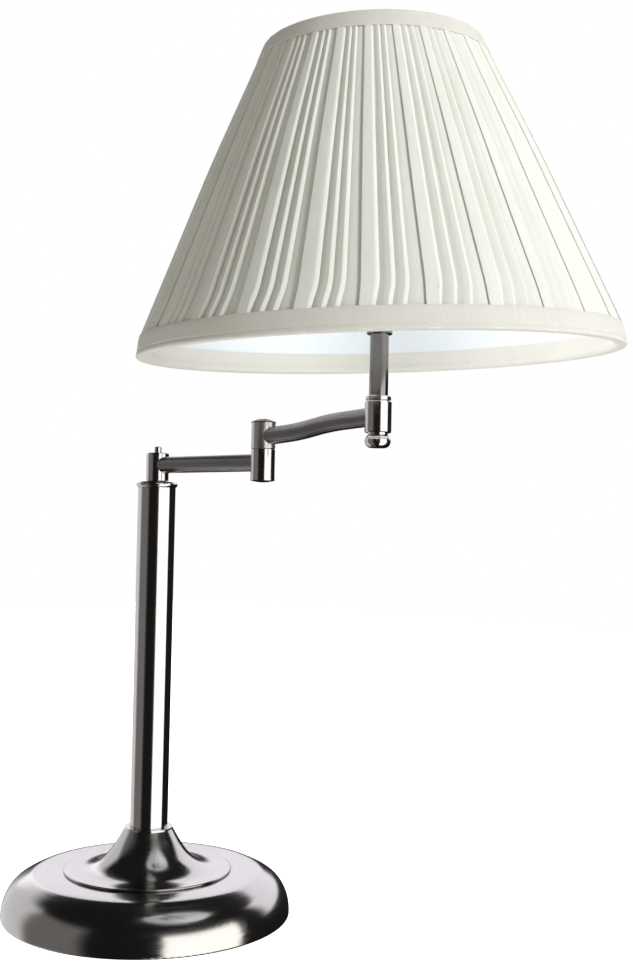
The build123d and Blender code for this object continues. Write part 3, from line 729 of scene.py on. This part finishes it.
@dataclass
class PleatedCover:
    """One length of cloth laid in repeats of a wide panel and three narrow pleats, glued to the liner."""

    form: ShadeForm
    repeats: int = 28
    rows: int = 24
    row_spread: float = 0.3  # rows crowd towards the rim; 1 would be even rows
    first_edge: float = -55.3  # degrees, where one wide panel's left edge lies
    spread_low: float = 0.045  # the repeats are this much wider about that edge at the rim
    spread_high: float = -0.028  # and at the crown
    cut_width: float = 1.62
    edge_hem: float = 0.6 * MM
    top_inset: float = 0.35 * MM
    cloth: float = 0.1 * MM
    gap: float = 0.12 * MM  # air between two layers of cloth
    panel_end: float = 0.305  # where the wide panel's fold ends, as a share of a repeat
    pleat_ends: tuple[float, ...] = (0.54, 0.775)
    roll: float = 0.062  # width of a fold's visible roll, as a share of a repeat
    drop: float = 1.5 * MM
    panel_step: float = 0.95 * MM
    step_spread: float = 0.85  # the steps are this much deeper on one side of the shade
    step_turn: float = -130.0  # degrees, where they are deepest
    depth: float = 2.55 * MM
    crown_depth: float = 0.55  # the share of the folds' depth that is left where the shade is narrow
    narrow: float = 60.0 * MM
    broad: float = 110.0 * MM
    jitter: float = 0.022
    rim_jitter: float = 0.6  # the share of it at the rim
    rim_drift: float = -0.075  # the folds lean back this much where the tape pulls them
    drift_start: float = 26.0 * MM
    drift_end: float = 11.0 * MM
    panel_jitter: float = 0.6  # the wide panel's own edge moves less than the pleats
    panel_drift: float = 0.35
    crease_angle: float = 26.0  # degrees

    @property
    def folds(self) -> int:
        """How many folds a repeat has."""
        return len(self.pleat_ends) + 2

    def profile(
        self, pitch: float, shrink: float, hidden: float, step: float
    ) -> list[tuple[int, float, float]]:
        """One repeat's line across the cloth, from the wide panel's hidden lap to the next one.

        Args:
            pitch: width of a repeat at this height.
            shrink: how much of the full depth the folds have at this height.
            hidden: how far each pleat runs back under the one before.
            step: how far the wide panel's left edge stands over what is beside it.

        Returns:
            Points as (fold, distance along the wall, depth under the outer face).
        """
        full, drop, ply = self.depth * shrink, self.drop * shrink, self.cloth * shrink
        gap, thin = self.gap, self.gap * shrink
        lap = min(hidden, 0.4 * self.panel_end * pitch)
        roll = self.roll * pitch
        line = [
            (0, lap, step + 0.14 * MM * shrink),
            (0, lap * 0.6, step - 0.08 * MM * shrink),
            (0, gap, step - thin),
            (0, -gap / 2, step * 0.6),
            (0, 0.0, step * 0.14),
            (0, 0.2 * MM, step * 0.02),
            (0, 0.06 * pitch, 0.0),
            (0, 0.13 * pitch, -0.02 * MM),
            (0, 0.2 * pitch, 0.02 * MM),
        ]
        ends = (self.panel_end, *self.pleat_ends, 1.0)
        last = self.folds - 1
        for fold, (end, following) in enumerate(zip(ends, ends[1:]), start=1):
            edge = end * pitch
            rise = 0.0 if fold == 1 else thin
            line += [
                (fold, edge - roll * 1.15, rise + 0.03 * MM * shrink),
                (fold, edge - roll * 0.95, rise + 0.1 * drop),
                (fold, edge - roll * 0.5, rise + 0.46 * drop),
                (fold, edge - roll * 0.12, rise + 0.84 * drop),
                (fold, edge, rise + drop),
                (fold, edge - gap, rise + drop + ply),
                (fold, edge - 0.5 * hidden, (rise + drop) * 0.45 + full * 0.5),
                (fold, edge - hidden, full - ply),
                (fold, edge - hidden - gap, full),
                (fold, edge - hidden, full + ply),
            ]
            next_fold = min(fold + 1, last)
            goal = 0.17 * MM * shrink if fold < last else step
            low = rise + drop + thin
            reach = following * pitch - roll * 1.35
            line += [
                (next_fold, edge - 0.45 * hidden, full * 0.5 + low * 0.5 + ply),
                (next_fold, edge + 0.02 * pitch, low),
                (next_fold, edge + 0.35 * (reach - edge), low * 0.55 + goal * 0.45),
                (next_fold, edge + 0.7 * (reach - edge), low * 0.22 + goal * 0.78),
            ]
        line.append((last, pitch - 0.03 * pitch, step + 0.05 * MM * shrink))
        return line

    def place(self, repeat: int, spot: int, rise: float, sways: list[list[float]]) -> Vector:
        """Finds where one point of the flat cloth goes.

        Args:
            repeat: which repeat it is in.
            spot: which point of the repeat's profile it is.
            rise: its share of the way up the cloth.
            sways: a random share for each fold of each repeat.

        Returns:
            The point in the row frame.
        """
        form = self.form
        height = self.edge_hem + (form.height - 2 * self.edge_hem) * crowded(rise, self.row_spread)
        radius = form.wall(height, self.top_inset)
        pitch = 2 * math.pi * radius / self.repeats
        hidden = (self.cut_width / self.repeats - pitch) / (2 * self.folds)
        shrink = self.crown_depth + (1.0 - self.crown_depth) * ease(radius, self.narrow, self.broad)
        around = 2 * math.pi * repeat / self.repeats + math.radians(self.first_edge - self.step_turn)
        step = self.panel_step * shrink * (1.0 + self.step_spread * math.cos(around))
        fold, along, deep = self.profile(pitch, shrink, hidden, step)[spot]
        sway = sways[repeat % self.repeats][fold] * self.jitter
        drift = self.rim_drift * (1.0 - ease(height, self.drift_end, self.drift_start))
        if fold == 0:
            drift *= self.panel_drift
            sway *= self.panel_jitter
        sway *= self.rim_jitter + (1.0 - self.rim_jitter) * rise
        turn = 2 * math.pi * (repeat + along / pitch + sway + drift) / self.repeats
        spread = self.spread_low + (self.spread_high - self.spread_low) * height / form.height
        turn += math.radians(self.first_edge) + spread * math.sin(turn)
        return form.point(turn, height, self.top_inset + deep)

    def build(self) -> bpy.types.Object:
        """Folds a flat grid of cloth round the shade, closes its seam and gives it its thickness.

        Returns:
            The cover.
        """
        draw = random.Random(SEED)
        count = len(self.profile(1.0, 1.0, 1.0, 1.0))
        columns = self.repeats * count
        sways = [[draw.uniform(-1.0, 1.0) for _ in range(count)] for _ in range(self.repeats)]
        length = (self.form.height - 2 * self.edge_hem) * self.form.slant
        shape = bmesh.new()
        bmesh.ops.create_grid(shape, x_segments=columns, y_segments=self.rows, size=0.5)
        layer = shape.loops.layers.uv.new("cut")
        flat = {}
        for corner in shape.verts:
            column = round((corner.co.x + 0.5) * columns)
            rise = round((corner.co.y + 0.5) * self.rows) / self.rows
            up = self.edge_hem * self.form.slant + length * crowded(rise, self.row_spread)
            flat[corner] = (self.cut_width * column / columns, up)
            corner.co = self.place(*divmod(column, count), rise, sways)
        for face in shape.faces:
            for loop in face.loops:
                loop[layer].uv = flat[loop.vert]
        bmesh.ops.remove_doubles(shape, verts=shape.verts, dist=2e-6)
        bmesh.ops.recalc_face_normals(shape, faces=shape.faces)
        smooth(shape, self.crease_angle)
        cover = finished("pleated_cover", shape, PLEATED, Body.UPPER_ARM, "shade_cover")
        wall = cover.modifiers.new("cloth", "SOLIDIFY")
        wall.thickness = self.cloth
        wall.offset = -1.0
        return cover


@dataclass
class RimTape:
    """A bias tape folded over one edge of the shade and round its wire ring."""

    form: ShadeForm
    name: str
    node: str
    crown: bool
    outside: float
    inside: float = 13.0 * MM
    cloth: float = 0.42 * MM
    wire_inset: float = 5.16 * MM
    wrap_radius: float = 1.8 * MM
    steps: int = 240
    waves: tuple[tuple[int, float, float], ...] = ((17, 1.0, 0.6), (41, 0.7, 2.1), (89, 0.4, 0.0))
    ripple: float = 0.048 * MM
    crease: float = 0.38 * MM  # the cloth dips this much where the wire pulls it in
    crease_angle: float = 70.0  # degrees

    def path(self) -> list[tuple[float, float]]:
        """The tape's middle line as (height from its edge, inset), from the outer hem to the inner one."""
        face, centre = 0.3 * MM, self.form.rim_wire
        line = [(self.outside, face + 0.12 * MM), (self.outside - 0.35 * MM, face)]
        for height in (0.75, 0.5, 0.34, 0.27):
            line.append((self.outside * height, face))
        line += [(2.9 * MM, face + self.crease), (2.4 * MM, face), (1.4 * MM, face + 0.1 * MM)]
        line += [(0.75 * MM, face + 0.45 * MM), (0.38 * MM, face + 1.2 * MM)]
        for turn in range(-90, 51, 35):
            deep, high = math.cos(math.radians(turn)), math.sin(math.radians(turn))
            line.append((centre + self.wrap_radius * high, self.wire_inset + self.wrap_radius * deep))
        line += [(5.2 * MM, 4.55 * MM), (7.0 * MM, 3.85 * MM), (self.inside, 3.8 * MM)]
        return line

    def build(self) -> bpy.types.Object:
        """Spins the folded line round the shade's axis and gives the cloth its thickness.

        Returns:
            The tape.
        """
        form, line = self.form, self.path()
        shape = bmesh.new()
        corners = []
        for height, inset in line:
            place = form.height - height if self.crown else height
            corners.append(shape.verts.new(form.point(0.0, place, inset)))
        edges = [shape.edges.new(pair) for pair in zip(corners, corners[1:])]
        bmesh.ops.spin(
            shape,
            geom=corners + edges,
            cent=form.origin,
            axis=form.axis,
            dvec=(0.0, 0.0, 0.0),
            angle=2 * math.pi,
            steps=self.steps,
            use_merge=True,
        )
        wrap_uv(shape, form)
        for corner in shape.verts:
            turn = form.turn_of(corner.co)
            wave = sum(part * math.sin(count * turn + start) for count, part, start in self.waves)
            corner.co += form.radial(turn) * (wave * self.ripple)
        bmesh.ops.recalc_face_normals(shape, faces=shape.faces)
        smooth(shape, self.crease_angle)
        tape = finished(self.name, shape, TAPE, Body.UPPER_ARM, self.node)
        wall = tape.modifiers.new("cloth", "SOLIDIFY")
        wall.thickness = self.cloth
        wall.offset = 0.0
        middle = form.height if self.crown else 0.0
        length = 2 * math.pi * form.wall(middle, self.wire_inset / 2)
        return tape


@dataclass
class Liner:
    """The film cone inside the cover, closed by a glued lap."""

    form: ShadeForm
    lap_turn: float = 150.0  # degrees, where the lap's inner edge lies
    lap: float = 5.0  # degrees
    inset: float = 3.1 * MM
    spiral: float = 0.28 * MM
    film: float = 0.2 * MM
    edge: float = 0.8 * MM
    columns: int = 220
    rows: int = 26
    row_spread: float = 0.2  # rows crowd towards the rim; 1 would be even rows

    def build(self) -> bpy.types.Object:
        """Rolls a flat grid of film into the cone.

        Returns:
            The liner.
        """
        form = self.form
        shape = bmesh.new()
        bmesh.ops.create_grid(shape, x_segments=self.columns, y_segments=self.rows, size=0.5)
        for corner in shape.verts:
            share, rise = corner.co.x + 0.5, crowded(corner.co.y + 0.5, self.row_spread)
            turn = math.radians(self.lap_turn - self.lap + share * (360.0 + self.lap))
            height = self.edge + rise * (form.height - 2 * self.edge)
            corner.co = form.point(turn, height, self.inset + share * self.spiral)
        bmesh.ops.recalc_face_normals(shape, faces=shape.faces)
        smooth(shape)
        liner = finished("liner_cone", shape, LINER, Body.UPPER_ARM, "shade_liner")
        wall = liner.modifiers.new("film", "SOLIDIFY")
        wall.thickness = self.film
        wall.offset = 0.0
        return liner


def wrap_uv(shape: bmesh.types.BMesh, form: ShadeForm) -> None:
    """Lays a UV map in metres round a spun piece of the shade: along is the way round, up is the slope.

    Args:
        shape: the mesh.
        form: the shade's axes.
    """
    layer = shape.loops.layers.uv.new("cut")
    for face in shape.faces:
        middle = form.turn_of(face.calc_center_median())
        for loop in face.loops:
            turn = form.turn_of(loop.vert.co)
            turn += 2 * math.pi * round((middle - turn) / (2 * math.pi))
            along = form.axis.dot(loop.vert.co - form.origin)
            inset = form.wall(along, 0.0) - form.radius_of(loop.vert.co)
            loop[layer].uv = (turn * form.wall(along, 0.0), along + inset)


@dataclass
class Shade:
    """The shade: pleated cover, liner, tapes, and the wire frame that carries them."""

    wires: tuple[str, ...] = ("shade_bottom_ring", "shade_top_ring", "shade_fitter", "shade_struts")

    def build(self) -> None:
        """Makes the soft pieces and dresses the wire frame."""
        form = ShadeForm()
        PleatedCover(form).build()
        RimTape(form, "rim_tape", "shade_bottom_tape", crown=False, outside=12.1 * MM).build()
        RimTape(form, "crown_tape", "shade_top_tape", crown=True, outside=10.0 * MM).build()
        Liner(form).build()
        dress(self.wires, WHITE_WIRE)


# ---------------------------------------------------------------- metal and fittings


@dataclass
class Base:
    """The weighted base: pressed dome, flared cone, ballast, felt and the wiring chamber."""

    turned: tuple[str, ...] = ("base_shell", "base_cone")
    plated: tuple[str, ...] = (
        "bottom_plate",
        "plate_screws",
        "column_seat",
        "tie_tube",
        "tie_washer",
        "tie_nut",
        "earth_screw",
        "terminal_screws",
    )

    def build(self) -> None:
        """Dresses the base's pieces."""
        dress(self.turned, TURNED_NICKEL)
        dress(self.plated, ZINC)
        dress(("ballast",), IRON)
        dress(("felt_pad",), FELT)
        dress(("cord_bushing",), BLACK_PLASTIC)
        dress(("terminal_block",), WHITE_PLASTIC)
        dress(("earth_tag",), BRASS)
        dress(("earth_lead", "column_lead"), INSULATION)


@dataclass
class Column:
    """The column tube, its cap and the hollow pivot that the lower arm turns on."""

    tubes: tuple[str, ...] = ("column_tube", "column_cap")
    pivots: tuple[str, ...] = ("pivot_tube", "pivot_spring_washer", "pivot_ring_nut")

    def build(self) -> None:
        """Dresses the column's pieces."""
        dress(self.tubes, DRAWN_NICKEL)
        dress(self.pivots, ZINC)
        dress(("pivot_thrust_washer",), NYLON)


@dataclass
class Arms:
    """Hub, both arms, the elbow between them, and the end knuckle with its finial and neck."""

    knuckles: tuple[str, ...] = (
        "hub",
        "hub_plug",
        "elbow_lower",
        "elbow_lower_cap",
        "end_knuckle",
        "ball_finial",
        "end_ring",
    )
    tubes: tuple[str, ...] = ("lower_arm_tube", "upper_arm_tube")
    pivots: tuple[str, ...] = ("elbow_pivot_tube", "elbow_spring_washer", "elbow_ring_nut")

    def build(self) -> None:
        """Dresses the arms' pieces."""
        dress(self.knuckles, DRAWN_NICKEL)
        dress(("elbow_upper",), SATIN_NICKEL)
        # The elbow cap's darker nickel is painted shade, in place of a dark reflection.
        dress(("elbow_upper_cap",), CAP_PAINTED_SHADE_NICKEL)
        # The neck's darker nickel is painted shade, in place of a dark reflection.
        dress(("neck_tube", "neck_flange"), NECK_PAINTED_SHADE_NICKEL)
        dress(self.tubes, ARM_NICKEL)
        dress(self.pivots, ZINC)
        dress(("elbow_thrust_washer",), NYLON)
        dress(("lower_arm_lead", "upper_arm_lead"), INSULATION)


@dataclass
class Lampholder:
    """The lampholder, its shade ring nut and the bulb."""

    plastic: tuple[str, ...] = ("holder_cap", "holder_body", "shade_ring_nut")

    def build(self) -> None:
        """Dresses the lampholder and the bulb."""
        dress(self.plastic, HOLDER_PLASTIC)
        dress(("holder_insert",), CERAMIC)
        dress(("thread_shell", "centre_contact", "bulb_tip"), BRASS)
        dress(("bulb_cap",), ALUMINIUM)
        dress(("bulb_insulator",), BLACK_GLASS)
        dress(("bulb_glass",), OPAL)


# ---------------------------------------------------------------- studio


@dataclass(frozen=True)
class Panel:
    """A soft panel of light far from the lamp, by azimuth from +X and elevation, in degrees."""

    azimuth: float
    half_width: float
    low: float
    high: float
    strength: float
    colour: tuple[float, float, float] = (1.0, 1.0, 1.0)
    side_blur: float = 4.0
    edge_blur: float = 6.0


@dataclass(frozen=True)
class FillLight:
    """A square area light that lights cloth and floor but isn't mirrored in the metal."""

    name: str
    place: tuple[float, float, float]
    target: tuple[float, float, float]
    size: float
    power: float
    colour: tuple[float, float, float] = (1.0, 1.0, 1.0)


@dataclass
class Studio:
    """Floor, light and camera."""

    panels: tuple[Panel, ...] = (
        Panel(4.0, 32.5, -70.0, 26.0, 2.2, (1.0, 0.985, 0.96), 3.0),
        Panel(-122.0, 29.0, -60.0, 35.0, 0.22, (1.0, 0.97, 0.95), 8.0),
        Panel(-178.0, 27.0, -60.0, 35.0, 0.95, (0.97, 0.97, 1.0), 8.0),
        Panel(115.0, 45.0, 8.5, 38.0, 1.4, (0.945, 0.93, 1.0), 8.0, 2.0),
    )
    dark: float = 0.015
    background: float = 1.0
    ambient: float = 0.225
    ambient_colour: tuple[float, float, float] = (1.0, 0.97, 0.85)
    floor_glow: float = 0.3
    fills: tuple[FillLight, ...] = (
        FillLight("key", (1.85, 0.1, 1.15), (0.19, 0.0, 0.42), 0.35, 24.0, (0.935, 0.965, 1.0)),
        FillLight("back", (-1.3, 1.0, 1.0), (0.1, 0.0, 0.36), 0.6, 8.0, (1.0, 0.985, 0.96)),
        FillLight("inside", (0.228, -0.056, 0.372), (0.2, 0.13, 0.4), 0.05, 0.19, (0.97, 0.99, 1.0)),
    )
    floor_size: float = 5.0
    floor_drop: float = 0.3 * MM  # just clear of the felt
    floor_colour: tuple[float, float, float] = (0.9, 0.9, 0.9)
    eye: tuple[float, float, float] = (0.6367, -0.5651, 0.2602)
    heading: float = 131.15  # degrees from +X
    pitch: float = 1.91
    roll: float = 1.164
    lens: float = 46.53

    def build(self) -> None:
        """Makes everything in the studio."""
        self.make_camera()
        self.make_world()
        self.make_floor()
        for fill in self.fills:
            self.make_light(fill)
        bpy.context.scene.view_settings.view_transform = "Standard"

    def make_camera(self) -> None:
        """Makes the camera and chooses it."""
        lens = bpy.data.cameras.new("camera")
        lens.lens = self.lens
        lens.sensor_width = 36.0
        lens.clip_start, lens.clip_end = 0.02, 40.0
        item = bpy.data.objects.new("camera", lens)
        bpy.context.scene.collection.objects.link(item)
        turn, tip = math.radians(self.heading), math.radians(self.pitch)
        ahead = Vector((math.cos(turn) * math.cos(tip), math.sin(turn) * math.cos(tip), math.sin(tip)))
        right = Vector((math.sin(turn), -math.cos(turn), 0.0))
        lean = Matrix.Rotation(math.radians(self.roll), 3, -ahead)
        right = lean @ right
        above = right.cross(ahead)
        basis = Matrix((right, above, -ahead)).transposed()
        item.matrix_world = Matrix.Translation(self.eye) @ basis.to_4x4()
        bpy.context.scene.camera = item

    def make_world(self) -> None:
        """Surrounds the lamp with soft panels on a dark room; the camera itself sees a pale backdrop."""
        world = bpy.data.worlds.new("studio")
        bpy.context.scene.world = world
        world.use_nodes = True
        tree = Tree(world.node_tree)
        way = tree.node("ShaderNodeTexCoord").outputs["Generated"]
        upright = tree.node("ShaderNodeSeparateXYZ")
        tree.link(way, upright.inputs[0])
        rise = tree.node("ShaderNodeMath", operation="ARCSINE")
        tree.link(upright.outputs["Z"], rise.inputs[0])
        glow = tree.node("ShaderNodeRGB").outputs[0]
        glow.default_value = (self.dark, self.dark, self.dark, 1.0)
        for panel in self.panels:
            total = tree.node("ShaderNodeVectorMath", operation="ADD")
            tree.link(glow, total.inputs[0])
            tree.link(self.panel_light(tree, panel, way, rise.outputs[0]), total.inputs[1])
            glow = total.outputs[0]
        shown = tree.node("ShaderNodeBackground")
        tree.link(glow, shown.inputs["Color"])
        rays = tree.node("ShaderNodeLightPath")
        white = (1.0, 1.0, 1.0)
        for ray, strength, tint in (
            ("Is Diffuse Ray", self.ambient, self.ambient_colour),
            ("Is Camera Ray", self.background, white),
        ):
            plain, choice = tree.node("ShaderNodeBackground"), tree.node("ShaderNodeMixShader")
            plain.inputs["Color"].default_value = (*tint, 1.0)
            plain.inputs["Strength"].default_value = strength
            tree.link(rays.outputs[ray], choice.inputs[0])
            tree.link(shown.outputs[0], choice.inputs[1])
            tree.link(plain.outputs[0], choice.inputs[2])
            shown = choice
        output = tree.node("ShaderNodeOutputWorld")
        tree.link(shown.outputs[0], output.inputs["Surface"])

    def panel_light(
        self, tree: Tree, panel: Panel, way: bpy.types.NodeSocket, rise: bpy.types.NodeSocket
    ) -> bpy.types.NodeSocket:
        """Adds one panel's light to the world's nodes.

        Args:
            tree: the world's nodes.
            panel: the panel.
            way: the direction looked in.
            rise: that direction's elevation, in radians.

        Returns:
            The socket of the panel's colour, black outside its edges.
        """
        spun = tree.node("ShaderNodeVectorRotate", rotation_type="Z_AXIS")
        spun.inputs["Angle"].default_value = -math.radians(panel.azimuth)
        tree.link(way, spun.inputs["Vector"])
        parts = tree.node("ShaderNodeSeparateXYZ")
        tree.link(spun.outputs[0], parts.inputs[0])
        off = tree.node("ShaderNodeMath", operation="ABSOLUTE")
        tree.link(tree.joined("ARCTAN2", parts.outputs["Y"], parts.outputs["X"]), off.inputs[0])
        half, blur = math.radians(panel.half_width), math.radians(panel.side_blur)
        low, high = math.radians(panel.low), math.radians(panel.high)
        edge = math.radians(panel.edge_blur)
        inside = tree.step(off.outputs[0], half + blur, half - blur)
        inside = tree.joined("MULTIPLY", inside, tree.step(rise, low - edge, low + edge))
        inside = tree.joined("MULTIPLY", inside, tree.step(rise, high + edge, high - edge))
        lit = tree.node("ShaderNodeVectorMath", operation="SCALE")
        lit.inputs[0].default_value = [channel * panel.strength for channel in panel.colour]
        tree.link(inside, lit.inputs["Scale"])
        return lit.outputs[0]

    def make_floor(self) -> None:
        """Makes the plain pale floor, which the metal doesn't mirror."""
        shape = bmesh.new()
        bmesh.ops.create_grid(shape, x_segments=1, y_segments=1, size=self.floor_size / 2)
        mesh = bpy.data.meshes.new("floor")
        shape.to_mesh(mesh)
        shape.free()
        floor = bpy.data.objects.new("floor", mesh)
        floor.location.z = -self.floor_drop
        bpy.context.scene.collection.objects.link(floor)
        graph = Graph("floor", self.floor_colour, 0.9)
        graph.set(specular_ior_level=0.0)
        seen = graph.node("ShaderNodeMath", operation="MULTIPLY_ADD")
        graph.link(graph.node("ShaderNodeLightPath").outputs["Is Camera Ray"], seen.inputs[0])
        seen.inputs[1].default_value = self.background
        seen.inputs[2].default_value = self.floor_glow
        graph.link(seen.outputs[0], graph.shader.inputs["Emission Strength"])
        graph.shader.inputs["Emission Color"].default_value = (1.0, 1.0, 1.0, 1.0)
        mesh.materials.append(graph.material)
        floor.visible_glossy = False

    def make_light(self, fill: FillLight) -> None:
        """Makes one area light, aimed at its target.

        Args:
            fill: the light.
        """
        lamp = bpy.data.lights.new(fill.name, "AREA")
        lamp.size, lamp.energy, lamp.color = fill.size, fill.power, fill.colour
        item = bpy.data.objects.new(fill.name, lamp)
        bpy.context.scene.collection.objects.link(item)
        item.location = fill.place
        item.rotation_euler = (Vector(fill.target) - Vector(fill.place)).to_track_quat("-Z", "Y").to_euler()
        item.visible_glossy = False
        item.visible_camera = False


def corners(box: tuple[Vector, Vector]) -> list[list[float]]:
    """A box's two corners as plain lists."""
    return [list(point) for point in box]


def main() -> None:
    """Builds the lamp's pieces in order, then the studio."""
    logging.basicConfig(level=logging.INFO, format="%(message)s")
    Studio().build()
    for part in (Base(), Column(), Arms(), Lampholder(), Shade()):
        LOG.info("building %s", type(part).__name__)
        part.build()


if __name__ == "__main__":
    main()
